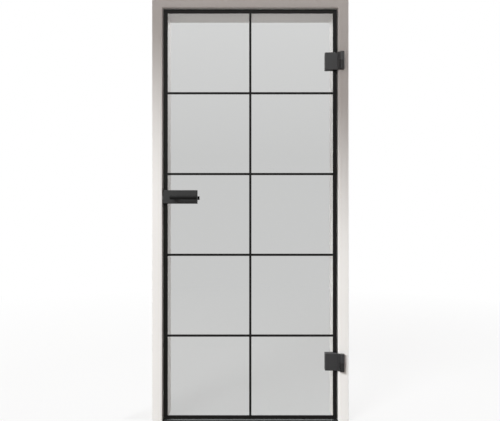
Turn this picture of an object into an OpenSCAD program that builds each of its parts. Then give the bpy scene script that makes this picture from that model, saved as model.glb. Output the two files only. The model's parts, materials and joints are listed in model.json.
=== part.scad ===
// Glass door with a printed pane grid, hung in a lined door frame with casings front and rear.
// X runs to the right seen from the front, Y runs into the wall and Z runs up from the floor.

/* [Glass] */
// Width of the glass pane
glass_w = 834; // [709:1:959]
// Height of the glass pane
glass_h = 1972; // [1900:1:2100]
// Thickness of the glass pane
glass_t = 8; // [8:1:10]
// Gap between the glass and the floor
floor_gap = 10; // [8:1:15]

/* [Printed grid] */
// Width of the printed border
border_w = 20; // [12:1:40]
// Width of the printed bars
bar_w = 11; // [6:1:16]
// Panes side by side
pane_columns = 2; // [1:1:3]
// Panes one above the other
pane_rows = 5; // [2:1:8]
// Thickness of the printed layer
print_t = 0.2; // [0.1:0.05:0.4]

/* [Frame] */
// Width of the casings
casing_w = 49; // [46:1:80]
// Thickness of the casings
casing_t = 16; // [14:1:20]
// Space for the wall between the front and rear casings
wall_t = 145; // [120:5:290]
// Thickness of the lining boards
lining_t = 20; // [19:1:26]
// Depth from the front face back to the glass
glass_recess = 16; // [16:0.5:20]
// Gap between the glass and the frame at each side
side_gap = 4; // [4:0.5:8]
// Gap between the glass and the frame at the head
head_gap = 4; // [3:0.5:8]
// Height of the threshold strip
threshold_h = 7; // [3:0.5:8]

/* [Hinges] */
// Height of each hinge
hinge_h = 84; // [80:1:110]
// Height of the lower hinge centre above the glass bottom
lower_hinge_up = 280; // [200:1:320]
// Depth of the upper hinge centre below the glass top
upper_hinge_down = 252; // [180:1:320]
// Reach of the hinge leaf over the glass
hinge_reach = 59; // [54:1:75]
// Thickness of the hinge leaf
leaf_t = 14; // [12:0.5:15]
// Width of the square knuckle
knuckle_w = 20; // [19:0.5:22]
// Diameter of the hinge pin
pin_d = 9; // [7:0.5:10]

/* [Lock and levers] */
// Length of the lock case
lock_l = 164; // [150:1:190]
// Height of the lock case
lock_h = 65; // [62:1:80]
// Thickness of the lock case
lock_t = 14; // [13.5:0.5:15]
// Height of the lever axis above the glass bottom
lever_up = 1066; // [950:1:1100]
// Distance from the glass edge to the lever axis
backset = 50; // [48:1:65]
// Length of the lever bar
lever_l = 129; // [110:1:150]
// Height of the lever bar
lever_h = 18; // [14:0.5:20]
// Thickness of the lever bar
lever_t = 9; // [7:0.5:12]
// Finger gap between the lock and the lever bar
lever_gap = 38; // [34:1:45]
// Length of latch that stands out of the lock
latch_out = 9; // [8:0.5:11]

/* [Hidden] */
$fn = 64;
// Overrun of every cut past the face that it opens
over = 1;
// Clearances: a pressed piece, a turning piece, a sliding piece, a seated piece and a swinging piece
press_clear = 0.02;
turn_clear = 0.05;
slide_clear = 0.3;
seat_clear = 0.15;
swing_clear = 0.55;

// Frame sections
casing_round = 5;
casing_outer_round = 2;
leg_t = 24;
leg_lap = 16;
lining_step = 2;
lining_round = 2;
seal_gap = 4;
rear_setback = 4;
tongue_t = 8;
tongue_l = 12;
tongue_room = 2;
frame_depth = wall_t + 2 * casing_t;
rebate_d = glass_recess + glass_t + seal_gap;
lining_end = frame_depth - casing_t;
lining_in = lining_step - lining_t;

// Seal
seal_inset = 7;
seal_flange_w = 8;
seal_flange_t = 0.8;
seal_stem_w = 3.4;
seal_stem_l = 7;
seal_hole_r = 1;
seal_bulb_r = (seal_gap - slide_clear) / 2;
seal_u = -side_gap - seal_inset;

// Threshold strip
threshold_inset = 3;
threshold_bevel = threshold_h / 2;

// Glass and pads
glass_arris = 1;
pad_t = 1;
pad_inset = 1;
rear_clear = 3;

// Hinge
leaf_lip = 2;
leaf_bevel = 2;
neck_inset = 1;
neck_root = 1;
neck_reach = 6;
neck_rise = 5.5;
knuckle_round = 6;
axis_out = 16.5;
knuckle_sweep = knuckle_w / 2 * sqrt(2) - knuckle_round * (sqrt(2) - 1);
axis_proud = knuckle_sweep + swing_clear;
bush_wall = 1.5;
bush_l = 34;
bush_flange_t = 1;
bush_flange_w = 2;
bush_room = 2;
pin_seat = 30;
foot_w = 18;
shank_d = 8;
shank_l = 34;
shank_pitch = 24;
receiver_w = 14;
receiver_d = 28;
receiver_v = 10;
receiver_h = 44;
receiver_screw_d = 6;
receiver_screw_sink = 0.5;
back_plate_t = 8;
hinge_screw_in = 38;
hinge_screw_pitch = 50;
clamp_screw_d = 8;
clamp_head_d = 15;
clamp_head_l = 4;
clamp_depth = 10;
glass_hole_d = 14;
socket_share = 0.5;

// Lock: its case stands a little above the lever axis
case_over = 2;
case_rise = 4;
case_bevel = 2.5;
case_wall = 3;
case_front = 3.5;
base_t = 1.5;
boss_d = 12;
lock_screw_d = 6;
lock_head_d = 11;
lock_head_l = 3;
near_screw_in = 22;
near_screw_down = 19;
far_screw_in = 24;
far_screw_rise = 18;
cover_t = 12;
cover_bevel = 2;
spindle_hole_d = 22;

// Levers
neck_d = 16;
neck_seat = 1.2;
lever_back = 12;
lever_round = 2.5;
sleeve_wall = 2;
sleeve_flange_t = 1;
sleeve_flange_w = 2;
sleeve_lip = 2;
spindle_w = 8;
spindle_in = 28;
grub_d = 5;
grub_out = 12;
journal_d = 14;

// Follower and latch
hub_d = 18;
arm_r = 14.32;
arm_tip_r = 3;
latch_t = 6.2;
latch_h = 16;
latch_bevel = 6;
bolt_back = 32;
riser_w = 8;
hook_w = 5;
tail_h = 5;
hook_clear = 0.5;
stop_t = 1.8;
stop_out = 13;
stop_h = 8;
spring_r = 2.2;
spring_wire_r = 0.4;
spring_down = 2;
spring_turns = 6;
spring_turn_steps = 14;
spring_wire_sides = 6;

// Strike plate
strike_t = 2;
strike_h = 90;
strike_edge = 0.5;
strike_back_edge = 6;
strike_pocket = 14;
strike_screw_d = 4;
strike_head_d = 7;
strike_head_l = 1.6;
strike_screw_l = 15;
strike_screw_pitch = 66;

// Places in the frame
glass_x = glass_w / 2;
glass_z = floor_gap + glass_h / 2;
rebate_x = glass_x + side_gap;
rebate_z = floor_gap + glass_h + head_gap;
outer_x = rebate_x + casing_w;
outer_z = rebate_z + casing_w;
clear_x = rebate_x + lining_in;
case_y = pad_t + lock_t;
lever_proud = case_y + lever_gap + lever_t - glass_recess;
face_y = (lever_proud - frame_depth) / 2;
glass_y = face_y + glass_recess;
axis_dx = side_gap + axis_out;
axis_dy = -glass_recess - axis_proud;
lower_hinge_z = floor_gap + lower_hinge_up;
upper_hinge_z = floor_gap + glass_h - upper_hinge_down;
block_z = -(hinge_h + bush_flange_t) / 4;
lever_x = -glass_x + backset;
lever_z = floor_gap + lever_up;
case_left = -backset - case_over;
case_mid = case_left + lock_l / 2;
cover_left = -clear_x + rear_clear - lever_x;
cover_right = case_left + lock_l;
cover_mid = (cover_left + cover_right) / 2;
cover_l = cover_right - cover_left;
cover_y = glass_t + pad_t + cover_t;
cavity_front = -case_y + case_front;
base_front = -pad_t - base_t;
latch_back = base_front - slide_clear;
latch_front = latch_back - latch_t;
latch_mid = (latch_front + latch_back) / 2;
latch_tip = case_left - latch_out;
arm_face = arm_tip_r + slide_clear;
tail_low = arm_r + arm_tip_r + hook_clear;
tail_top = tail_low + tail_h;
hook_low = hub_d / 2 + hook_clear;
sleeve_d = neck_d + 2 * (turn_clear + sleeve_wall);
sleeve_flange_d = sleeve_d + 2 * sleeve_flange_w;
back_plate_right = clear_x - rear_clear - glass_x;
back_plate_w = back_plate_right + hinge_reach;
strike_front = casing_round + strike_edge;
strike_back = glass_recess + strike_back_edge;
latch_v = glass_recess + latch_mid;

// Finishes
white_lacquer = [0.93, 0.92, 0.91];
white_foil = [0.9, 0.89, 0.88];
clear_glass = [0.82, 0.87, 0.88, 0.4];
black_print = [0.16, 0.15, 0.14];
anthracite = [0.24, 0.24, 0.24];
dark_anthracite = [0.14, 0.14, 0.14];
threshold_grey = [0.27, 0.27, 0.28];
seal_grey = [0.62, 0.62, 0.62];
bright_steel = [0.62, 0.63, 0.65];
black_polymer = [0.1, 0.1, 0.1];

// Places of the clamp screws of the lock, counted from the lever axis
function lock_screw_places() = [
    [-near_screw_in, -near_screw_down],
    [cover_right - far_screw_in, case_rise - far_screw_rise],
    [cover_right - far_screw_in, case_rise + far_screw_rise]
];

// Places of the clamp screws of one hinge, counted from the glass edge and the hinge centre
function hinge_screw_places() = [
    [-hinge_screw_in, -hinge_screw_pitch / 2],
    [-hinge_screw_in, hinge_screw_pitch / 2]
];

// Outline of a block that has its back on the X axis and its two front edges bevelled
function bevelled_outline(w, d, bevel) = [
    [-w / 2, 0],
    [w / 2, 0],
    [w / 2, bevel - d],
    [w / 2 - bevel, -d],
    [bevel - w / 2, -d],
    [-w / 2, bevel - d]
];

// Outline of a sheet with all four edges broken
function sheet_outline(w, d, arris) = [
    [arris - w / 2, 0],
    [w / 2 - arris, 0],
    [w / 2, arris],
    [w / 2, d - arris],
    [w / 2 - arris, d],
    [arris - w / 2, d],
    [-w / 2, d - arris],
    [-w / 2, arris]
];

// One point on the skin of the coil, its axis along X
function coil_point(step, side, length) =
    let (turn = 360 * step / spring_turn_steps)
    let (around = 360 * side / spring_wire_sides)
    let (run = length - 2 * spring_wire_r)
    let (r = spring_r + spring_wire_r * cos(around))
    [
        spring_wire_r * (1 + sin(around)) + run * step / (spring_turns * spring_turn_steps),
        r * cos(turn),
        r * sin(turn)
    ];

// Square with rounded corners, centred
module rounded_square(w, h, r) {
    square([w - 2 * r, h], center = true);
    square([w, h - 2 * r], center = true);
    for (x = [r - w / 2, w / 2 - r])
        for (y = [r - h / 2, h / 2 - r])
            translate([x, y])
                circle(r);
}

// Solid that has one outline seen from above and the other seen from the side
module crossed_block(w, h, plan, side) {
    intersection() {
        translate([0, 0, -h / 2])
            linear_extrude(h)
                polygon(plan);
        rotate([0, -90, 0])
            linear_extrude(w, center = true)
                polygon(side);
    }
}

// Plate with its back at y = 0, its face towards the viewer and the edges of that face bevelled
module bevelled_plate(w, h, d, bevel) {
    crossed_block(w, h, bevelled_outline(w, d, bevel), bevelled_outline(h, d, bevel));
}

// Round bar along Y from one depth to another
module bar_y(d, from, to) {
    translate([0, from, 0])
        rotate([-90, 0, 0])
            cylinder(d = d, h = to - from);
}

// Round bar along X from one place to another
module bar_x(d, from, to) {
    translate([from, 0, 0])
        rotate([0, 90, 0])
            cylinder(d = d, h = to - from);
}

// Countersunk screw along Y with its head face at y = 0 and its tip towards the viewer
module countersunk_screw(d, head_d, head_l, length) {
    difference() {
        union() {
            bar_y(d, -length, 0);
            countersink(d, head_d, head_l);
        }
        hex_socket(d * socket_share, head_l * socket_share);
    }
}

// Head cone of a countersunk screw
module countersink(d, head_d, head_l) {
    rotate([90, 0, 0])
        cylinder(d1 = head_d, d2 = d, h = head_l);
}

// Six-sided socket that opens at y = 0
module hex_socket(w, depth) {
    translate([0, over, 0])
        rotate([90, 0, 0])
            cylinder(d = w, h = depth + over, $fn = 6);
}

// Half space beyond the mitre of the upright on the right, and the one beyond it for the head piece
module above_mitre() {
    translate([rebate_x, 0, rebate_z])
        rotate([0, -45, 0])
            translate([-outer_z, -frame_depth, 0])
                cube([2 * outer_z, 2 * frame_depth, outer_z]);
}

module below_mitre() {
    translate([rebate_x, 0, rebate_z])
        rotate([0, 135, 0])
            translate([-outer_z, -frame_depth, 0])
                cube([2 * outer_z, 2 * frame_depth, outer_z]);
}

// Upright on the hinge side: the section runs up from a start height and is mitred at the head
module hinge_side_upright(start) {
    difference() {
        translate([rebate_x, face_y, start])
            linear_extrude(outer_z - start)
                children();
        above_mitre();
    }
}

// Upright on the lock side
module lock_side_upright(start) {
    mirror([1, 0, 0])
        hinge_side_upright(start)
            children();
}

// Head piece: the same section laid across and mitred at both ends
module head_piece() {
    difference() {
        translate([0, face_y, rebate_z])
            rotate([0, -90, 0])
                linear_extrude(2 * outer_x, center = true)
                    children();
        below_mitre();
        mirror([1, 0, 0])
            below_mitre();
    }
}

// Section of the front casing: a flat face with a leg behind it that forms the rebate
module casing_section() {
    polygon([
        [0, casing_round],
        [casing_round, 0],
        [casing_w - casing_outer_round, 0],
        [casing_w, casing_outer_round],
        [casing_w, casing_t],
        [leg_t, casing_t],
        [leg_t, rebate_d + leg_lap],
        [lining_step, rebate_d + leg_lap],
        [lining_step, rebate_d],
        [0, rebate_d]
    ]);
    translate([casing_round, casing_round])
        circle(casing_round);
    translate([casing_w - casing_outer_round, casing_outer_round])
        circle(casing_outer_round);
}

// Section of the lining board with the seal groove in front and the tongue groove behind
module lining_section() {
    difference() {
        union() {
            polygon([
                [lining_in, rebate_d + lining_round],
                [lining_in + lining_round, rebate_d],
                [lining_step, rebate_d],
                [lining_step, lining_end],
                [lining_in, lining_end]
            ]);
            translate([lining_in + lining_round, rebate_d + lining_round])
                circle(lining_round);
        }
        translate([seal_u - seal_stem_w / 2 - seat_clear, rebate_d - over])
            square([seal_stem_w + 2 * seat_clear, seal_stem_l + slide_clear + over]);
        translate([lining_step - lining_t / 2 - tongue_t / 2 - seat_clear, lining_end - tongue_l - tongue_room])
            square([tongue_t + 2 * seat_clear, tongue_l + tongue_room + over]);
    }
}

// Section of the rear casing with the tongue that enters the lining
module rear_casing_section() {
    rear_in = lining_in + rear_setback;
    polygon([
        [rear_in, lining_end],
        [casing_w, lining_end],
        [casing_w, frame_depth - casing_outer_round],
        [casing_w - casing_outer_round, frame_depth],
        [rear_in + casing_round, frame_depth],
        [rear_in, frame_depth - casing_round]
    ]);
    translate([casing_w - casing_outer_round, frame_depth - casing_outer_round])
        circle(casing_outer_round);
    translate([rear_in + casing_round, frame_depth - casing_round])
        circle(casing_round);
    translate([lining_step - lining_t / 2 - tongue_t / 2, lining_end - tongue_l])
        square([tongue_t, tongue_l + casing_t / 2]);
}

// Section of the seal: hollow bulb, flange and stem
module seal_section() {
    difference() {
        union() {
            translate([seal_u, rebate_d - seal_bulb_r])
                circle(seal_bulb_r);
            translate([seal_u - seal_flange_w / 2, rebate_d - seal_flange_t])
                square([seal_flange_w, seal_flange_t]);
            translate([seal_u - seal_stem_w / 2, rebate_d - seal_flange_t])
                square([seal_stem_w, seal_stem_l + seal_flange_t]);
        }
        translate([seal_u, rebate_d - seal_bulb_r])
            circle(seal_hole_r);
    }
}

// Front casings
module hinge_side_casing() {
    color(white_lacquer)
        difference() {
            hinge_side_upright(0)
                casing_section();
            for (z = [lower_hinge_z, upper_hinge_z])
                receiver_pocket(z);
        }
}

module lock_side_casing() {
    color(white_lacquer)
        difference() {
            lock_side_upright(0)
                casing_section();
            strike_recess();
        }
}

module head_casing() {
    color(white_lacquer)
        head_piece()
            casing_section();
}

// Linings
module hinge_side_lining() {
    color(white_foil)
        hinge_side_upright(0)
            lining_section();
}

module lock_side_lining() {
    color(white_foil)
        lock_side_upright(0)
            lining_section();
}

module head_lining() {
    color(white_foil)
        head_piece()
            lining_section();
}

// Rear casings
module rear_hinge_side_casing() {
    color(white_lacquer)
        hinge_side_upright(0)
            rear_casing_section();
}

module rear_lock_side_casing() {
    color(white_lacquer)
        lock_side_upright(0)
            rear_casing_section();
}

module rear_head_casing() {
    color(white_lacquer)
        head_piece()
            rear_casing_section();
}

// Seals: the uprights stand just clear of the threshold strip
module hinge_side_seal() {
    color(seal_grey)
        hinge_side_upright(threshold_h + slide_clear)
            seal_section();
}

module lock_side_seal() {
    color(seal_grey)
        lock_side_upright(threshold_h + slide_clear)
            seal_section();
}

module head_seal() {
    color(seal_grey)
        head_piece()
            seal_section();
}

// Flat strip on the floor under the glass, between the two rebates
module threshold_strip() {
    strip_d = rebate_d - seat_clear - threshold_inset;
    color(threshold_grey)
        translate([0, face_y + threshold_inset, 0])
            rotate([0, -90, 0])
                linear_extrude(2 * (rebate_x - seat_clear), center = true)
                    polygon([
                        [0, 0],
                        [threshold_bevel, 0],
                        [threshold_h, threshold_bevel],
                        [threshold_h, strip_d],
                        [0, strip_d]
                    ]);
}

// Strike plate: place of the recess, of the plate and of its screws on the lock-side rebate
module at_strike() {
    mirror([1, 0, 0])
        translate([rebate_x, face_y, lever_z])
            children();
}

// Plate-shaped block on the rebate wall, with a margin all round, from the wall outwards
module strike_block(margin, depth) {
    translate([0, strike_front - margin, -strike_h / 2 - margin])
        cube([depth, strike_back - strike_front + 2 * margin, strike_h + 2 * margin]);
}

// Opening that takes the latch
module latch_opening(from, to) {
    open_t = latch_t + 2 * slide_clear;
    open_h = latch_h + 2 * slide_clear;
    translate([from, latch_v - open_t / 2, -open_h / 2])
        cube([to - from, open_t, open_h]);
}

// Places of the strike screws, on the middle line of the plate
module at_strike_screws() {
    for (z = [-strike_screw_pitch / 2, strike_screw_pitch / 2])
        translate([0, (strike_front + strike_back) / 2, z])
            children();
}

module strike_recess() {
    at_strike() {
        translate([-over, 0, 0])
            strike_block(seat_clear, strike_t + over);
        latch_opening(0, strike_pocket);
        at_strike_screws()
            bar_x(strike_screw_d + 2 * press_clear, 0, strike_screw_l + slide_clear);
    }
}

module strike_plate() {
    color(anthracite)
        at_strike()
            difference() {
                strike_block(0, strike_t);
                latch_opening(-over, strike_t + over);
                at_strike_screws() {
                    bar_x(strike_screw_d + 2 * press_clear, -over, strike_t + over);
                    rotate([0, 90, 0])
                        cylinder(
                            d1 = strike_head_d + 2 * press_clear,
                            d2 = strike_screw_d + 2 * press_clear,
                            h = strike_head_l
                        );
                }
            }
}

module strike_screws() {
    color(anthracite)
        at_strike()
            at_strike_screws()
                difference() {
                    union() {
                        bar_x(strike_screw_d, 0, strike_screw_l);
                        rotate([0, 90, 0])
                            cylinder(d1 = strike_head_d, d2 = strike_screw_d, h = strike_head_l);
                    }
                    translate([-over, 0, 0])
                        rotate([0, 90, 0])
                            cylinder(d = strike_screw_d * socket_share, h = strike_head_l + over, $fn = 6);
                }
}

// Hinge: places counted from the glass edge and the glass front, and from the hinge axis
module at_hinge(z) {
    translate([glass_x, glass_y, z])
        children();
}

module at_axis(z) {
    translate([glass_x + axis_dx, glass_y + axis_dy, z])
        children();
}

// Places of the two shanks of a frame block, on the casing face
module at_shanks(z) {
    for (side = [-1, 1])
        translate([rebate_x + (leg_t + lining_step) / 2, face_y, z + block_z + side * shank_pitch / 2])
            children();
}

// Block that the receiver fills, with a margin all round, open to the rear
module receiver_block(z, margin, depth) {
    translate([
        rebate_x + (leg_t + lining_step - receiver_w) / 2 - margin,
        face_y + receiver_v - margin,
        z + block_z - receiver_h / 2 - margin
    ])
        cube([receiver_w + 2 * margin, depth + margin, receiver_h + 2 * margin]);
}

// Line of the clamp screws of a receiver, from the rebate wall outwards
module at_receiver_screws(z) {
    for (side = [-1, 1])
        translate([
            rebate_x,
            face_y + glass_recess + glass_t / 2,
            z + block_z + side * shank_pitch / 2
        ])
            children();
}

module receiver_pocket(z) {
    receiver_block(z, seat_clear, rebate_d + leg_lap - receiver_v + over);
    at_shanks(z)
        bar_y(shank_d + 2 * seat_clear, -over, receiver_v + over);
    at_receiver_screws(z)
        bar_x(receiver_screw_d + 2 * seat_clear, -over, (leg_t + lining_step) / 2);
}

// Section of the neck that steps forward from the leaf to the knuckle
module neck_section() {
    corner = knuckle_w / 2 - knuckle_round;
    slant = corner + knuckle_round / sqrt(2);
    polygon([
        [-neck_inset, -pad_t],
        [leaf_lip, -pad_t],
        [leaf_lip, neck_root - pad_t - leaf_t],
        [leaf_lip + neck_reach, neck_root - pad_t - leaf_t - neck_rise],
        [axis_dx - corner, axis_dy + corner],
        [axis_dx - corner, axis_dy - corner],
        [axis_dx - slant, axis_dy - slant],
        [-neck_inset, -pad_t - leaf_t]
    ]);
}

module knuckle(from, to) {
    translate([0, 0, from])
        linear_extrude(to - from)
            rounded_square(knuckle_w, knuckle_w, knuckle_round);
}

module hinge_leaf(z) {
    bush_d = pin_d + 2 * (turn_clear + bush_wall);
    color(anthracite)
        difference() {
            union() {
                difference() {
                    at_hinge(z) {
                        translate([(leaf_lip - hinge_reach) / 2, -pad_t, 0])
                            bevelled_plate(leaf_lip + hinge_reach, hinge_h, leaf_t, leaf_bevel);
                        translate([0, 0, -hinge_h / 2])
                            linear_extrude(hinge_h)
                                neck_section();
                    }
                    at_axis(z)
                        translate([0, 0, -hinge_h / 2 - over])
                            cylinder(r = axis_proud, h = (hinge_h + bush_flange_t) / 2 + over);
                }
                at_axis(z)
                    knuckle(bush_flange_t / 2, hinge_h / 2);
            }
            at_axis(z)
                cylinder(d = bush_d + 2 * press_clear, h = bush_l + bush_room);
            at_hinge(z)
                for (place = hinge_screw_places())
                    translate([place[0], 0, place[1]])
                        bar_y(clamp_screw_d + 2 * press_clear, -pad_t - clamp_depth - slide_clear, over);
        }
}

module hinge_bush(z) {
    bush_d = pin_d + 2 * (turn_clear + bush_wall);
    color(black_polymer)
        at_axis(z)
            difference() {
                union() {
                    cylinder(d = bush_d, h = bush_l);
                    translate([0, 0, turn_clear - bush_flange_t / 2])
                        cylinder(d = bush_d + 2 * bush_flange_w, h = bush_flange_t - turn_clear);
                }
                translate([0, 0, -bush_flange_t])
                    cylinder(d = pin_d + 2 * turn_clear, h = bush_l + bush_flange_t + over);
            }
}

module hinge_pin(z) {
    color(bright_steel)
        at_axis(z)
            translate([0, 0, -pin_seat])
                cylinder(d = pin_d, h = pin_seat + bush_l);
}

module hinge_frame_block(z) {
    color(anthracite) {
        difference() {
            union() {
                at_axis(z) {
                    knuckle(-hinge_h / 2, -bush_flange_t / 2);
                    translate([-foot_w / 2, 0, -hinge_h / 2])
                        cube([foot_w, axis_proud, (hinge_h - bush_flange_t) / 2]);
                }
                at_shanks(z)
                    bar_y(shank_d, -axis_proud / 2, shank_l);
            }
            at_axis(z)
                translate([0, 0, -pin_seat - slide_clear])
                    cylinder(d = pin_d + 2 * press_clear, h = pin_seat + slide_clear);
        }
    }
}

module hinge_receiver(z) {
    color(bright_steel)
        difference() {
            receiver_block(z, 0, receiver_d);
            at_shanks(z)
                bar_y(shank_d + 2 * press_clear, 0, shank_l + slide_clear);
            at_receiver_screws(z)
                bar_x(receiver_screw_d + 2 * press_clear, 0, (leg_t + lining_step) / 2);
        }
}

// Grub screws that clamp the shanks in their receivers
module hinge_receiver_screws() {
    wall = (leg_t + lining_step - receiver_w) / 2;
    tip = (leg_t + lining_step - shank_d) / 2;
    color(bright_steel)
        for (z = [lower_hinge_z, upper_hinge_z])
            at_receiver_screws(z)
                difference() {
                    bar_x(receiver_screw_d, wall + receiver_screw_sink, tip);
                    translate([wall + receiver_screw_sink - over, 0, 0])
                        rotate([0, 90, 0])
                            cylinder(
                                d = receiver_screw_d * socket_share,
                                h = (tip - wall) * socket_share + over,
                                $fn = 6
                            );
                }
}

// Outline of a hinge pad, seen from the front
module hinge_pad_outline(right) {
    translate([pad_inset - hinge_reach, pad_inset - hinge_h / 2])
        square([right + hinge_reach - 2 * pad_inset, hinge_h - 2 * pad_inset]);
}

module hinge_pad(z, right, depth) {
    color(black_polymer)
        at_hinge(z)
            difference() {
                translate([0, depth + pad_t, 0])
                    rotate([90, 0, 0])
                        linear_extrude(pad_t)
                            hinge_pad_outline(right);
                for (place = hinge_screw_places())
                    translate([place[0], 0, place[1]])
                        bar_y(glass_hole_d, depth - over, depth + pad_t + over);
            }
}

module hinge_front_pad(z) {
    hinge_pad(z, 0, -pad_t);
}

module hinge_back_pad(z) {
    hinge_pad(z, back_plate_right, glass_t);
}

module hinge_back_plate(z) {
    outer = glass_t + pad_t + back_plate_t;
    color(anthracite)
        at_hinge(z)
            difference() {
                translate([back_plate_right - back_plate_w / 2, outer - back_plate_t, 0])
                    rotate([0, 0, 180])
                        bevelled_plate(back_plate_w, hinge_h, back_plate_t, cover_bevel);
                for (place = hinge_screw_places())
                    translate([place[0], 0, place[1]]) {
                        bar_y(clamp_screw_d + 2 * press_clear, glass_t, outer + over);
                        translate([0, outer, 0])
                            countersink(clamp_screw_d + 2 * press_clear, clamp_head_d + 2 * press_clear, clamp_head_l);
                    }
            }
}

// Clamp screws of both hinges
module hinge_clamp_screws() {
    outer = glass_t + pad_t + back_plate_t;
    color(bright_steel)
        for (z = [lower_hinge_z, upper_hinge_z])
            at_hinge(z)
                for (place = hinge_screw_places())
                    translate([place[0], outer, place[1]])
                        countersunk_screw(clamp_screw_d, clamp_head_d, clamp_head_l, outer + pad_t + clamp_depth);
}

// Lock: places counted from the lever axis and the glass front
module at_lock() {
    translate([lever_x, glass_y, lever_z])
        children();
}

module at_lock_screws() {
    for (place = lock_screw_places())
        translate([place[0], 0, place[1]])
            children();
}

module lock_case() {
    color(anthracite)
        at_lock()
            difference() {
                union() {
                    difference() {
                        translate([case_mid, -pad_t, case_rise])
                            bevelled_plate(lock_l, lock_h, lock_t, case_bevel);
                        translate([case_left + case_wall, cavity_front, case_rise + case_wall - lock_h / 2])
                            cube([lock_l - 2 * case_wall, case_y, lock_h - 2 * case_wall]);
                    }
                    at_lock_screws()
                        bar_y(boss_d, cavity_front - case_front / 2, base_front);
                }
                at_lock_screws()
                    bar_y(lock_screw_d + 2 * press_clear, cavity_front, over);
                bar_y(sleeve_d + 2 * press_clear, -case_y - over, cavity_front + over);
                translate([case_left - over, latch_front - slide_clear, -latch_h / 2 - slide_clear])
                    cube([case_wall + 2 * over, latch_t + 2 * slide_clear, latch_h + 2 * slide_clear]);
            }
}

// Base plate that closes the case from behind, with the tab that the latch spring pushes against
module lock_base_plate() {
    plate_l = lock_l - 2 * (case_wall + seat_clear);
    plate_h = lock_h - 2 * (case_wall + seat_clear);
    color(bright_steel)
        at_lock() {
            difference() {
                translate([case_mid - plate_l / 2, base_front, case_rise - plate_h / 2])
                    cube([plate_l, base_t, plate_h]);
                bar_y(journal_d + 2 * turn_clear, base_front - over, 0);
                at_lock_screws()
                    bar_y(lock_screw_d + 2 * seat_clear, base_front - over, 0);
            }
            translate([-stop_out, latch_front, -spring_down - stop_h / 2])
                cube([stop_t, base_front - latch_front, stop_h]);
        }
}

// Outline of a lock pad, seen from the front
module lock_pad_outline(left, right) {
    translate([left + pad_inset, case_rise + pad_inset - lock_h / 2])
        square([right - left - 2 * pad_inset, lock_h - 2 * pad_inset]);
}

module lock_pad(left, right, depth) {
    color(black_polymer)
        at_lock()
            difference() {
                translate([0, depth + pad_t, 0])
                    rotate([90, 0, 0])
                        linear_extrude(pad_t)
                            lock_pad_outline(left, right);
                bar_y(spindle_hole_d, depth - over, depth + pad_t + over);
                at_lock_screws()
                    bar_y(glass_hole_d, depth - over, depth + pad_t + over);
            }
}

module lock_front_pad() {
    lock_pad(-backset, cover_right, -pad_t);
}

module lock_rear_pad() {
    lock_pad(cover_left, cover_right, glass_t);
}

module lock_rear_cover() {
    color(anthracite)
        at_lock()
            difference() {
                translate([cover_mid, cover_y - cover_t, case_rise])
                    rotate([0, 0, 180])
                        bevelled_plate(cover_l, lock_h, cover_t, cover_bevel);
                bar_y(sleeve_d + 2 * press_clear, 0, cover_y + over);
                at_lock_screws() {
                    bar_y(lock_screw_d + 2 * press_clear, 0, cover_y + over);
                    translate([0, cover_y, 0])
                        countersink(lock_screw_d + 2 * press_clear, lock_head_d + 2 * press_clear, lock_head_l);
                }
            }
}

module lock_clamp_screws() {
    color(bright_steel)
        at_lock()
            at_lock_screws()
                translate([0, cover_y, 0])
                    countersunk_screw(lock_screw_d, lock_head_d, lock_head_l, cover_y - cavity_front - slide_clear);
}

// Bush that carries a lever neck: face of its seat at y = 0, neck towards the viewer
module lever_bush(length, end_bore) {
    difference() {
        union() {
            bar_y(sleeve_flange_d, -sleeve_flange_t, 0);
            bar_y(sleeve_d, -sleeve_flange_t, length);
        }
        bar_y(end_bore, -over - sleeve_flange_t, length + over);
        bar_y(neck_d + 2 * turn_clear, -over - sleeve_flange_t, length - sleeve_lip);
    }
}

module front_lever_bush() {
    color(black_polymer)
        at_lock()
            translate([0, -case_y, 0])
                lever_bush(case_front, journal_d + 2 * turn_clear);
}

module rear_lever_bush() {
    color(black_polymer)
        at_lock()
            translate([0, cover_y, 0])
                mirror([0, 1, 0])
                    lever_bush(case_front, journal_d);
}

// Lever with its neck: lock face at y = 0, bar towards the viewer
module lever() {
    difference() {
        union() {
            bar_y(neck_d, -lever_gap - lever_t / 2, neck_seat);
            translate([lever_l / 2 - lever_back, -lever_gap - lever_t / 2, 0])
                rotate([0, -90, 0])
                    linear_extrude(lever_l, center = true)
                        rounded_square(lever_h, lever_t, lever_round);
        }
        translate([-spindle_w / 2 - press_clear, -spindle_in, -spindle_w / 2 - press_clear])
            cube([spindle_w + 2 * press_clear, spindle_in + neck_seat + over, spindle_w + 2 * press_clear]);
        translate([0, -grub_out, -neck_d / 2 - over])
            cylinder(d = grub_d + 2 * press_clear, h = neck_d / 2 + over);
    }
}

module front_lever() {
    color(dark_anthracite)
        at_lock()
            translate([0, -case_y, 0])
                lever();
}

module rear_lever() {
    color(dark_anthracite)
        at_lock()
            translate([0, cover_y, 0])
                mirror([0, 1, 0])
                    lever();
}

// Square spindle from lever to lever
module spindle() {
    front = case_y + spindle_in - slide_clear;
    rear = cover_y + spindle_in - slide_clear;
    color(bright_steel)
        at_lock()
            translate([-spindle_w / 2, -front, -spindle_w / 2])
                cube([spindle_w, front + rear, spindle_w]);
}

// Grub screws that hold the levers on the spindle
module lever_grub_screws() {
    color(bright_steel)
        at_lock()
            for (y = [-case_y - grub_out, cover_y + grub_out])
                translate([0, y, 0])
                    difference() {
                        translate([0, 0, -neck_d / 2 + receiver_screw_sink])
                            cylinder(d = grub_d, h = (neck_d - spindle_w) / 2 - receiver_screw_sink);
                        translate([0, 0, -neck_d / 2 - over])
                            cylinder(
                                d = grub_d * socket_share,
                                h = over + receiver_screw_sink + (neck_d - spindle_w) / 2 * socket_share,
                                $fn = 6
                            );
                    }
}

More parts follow.
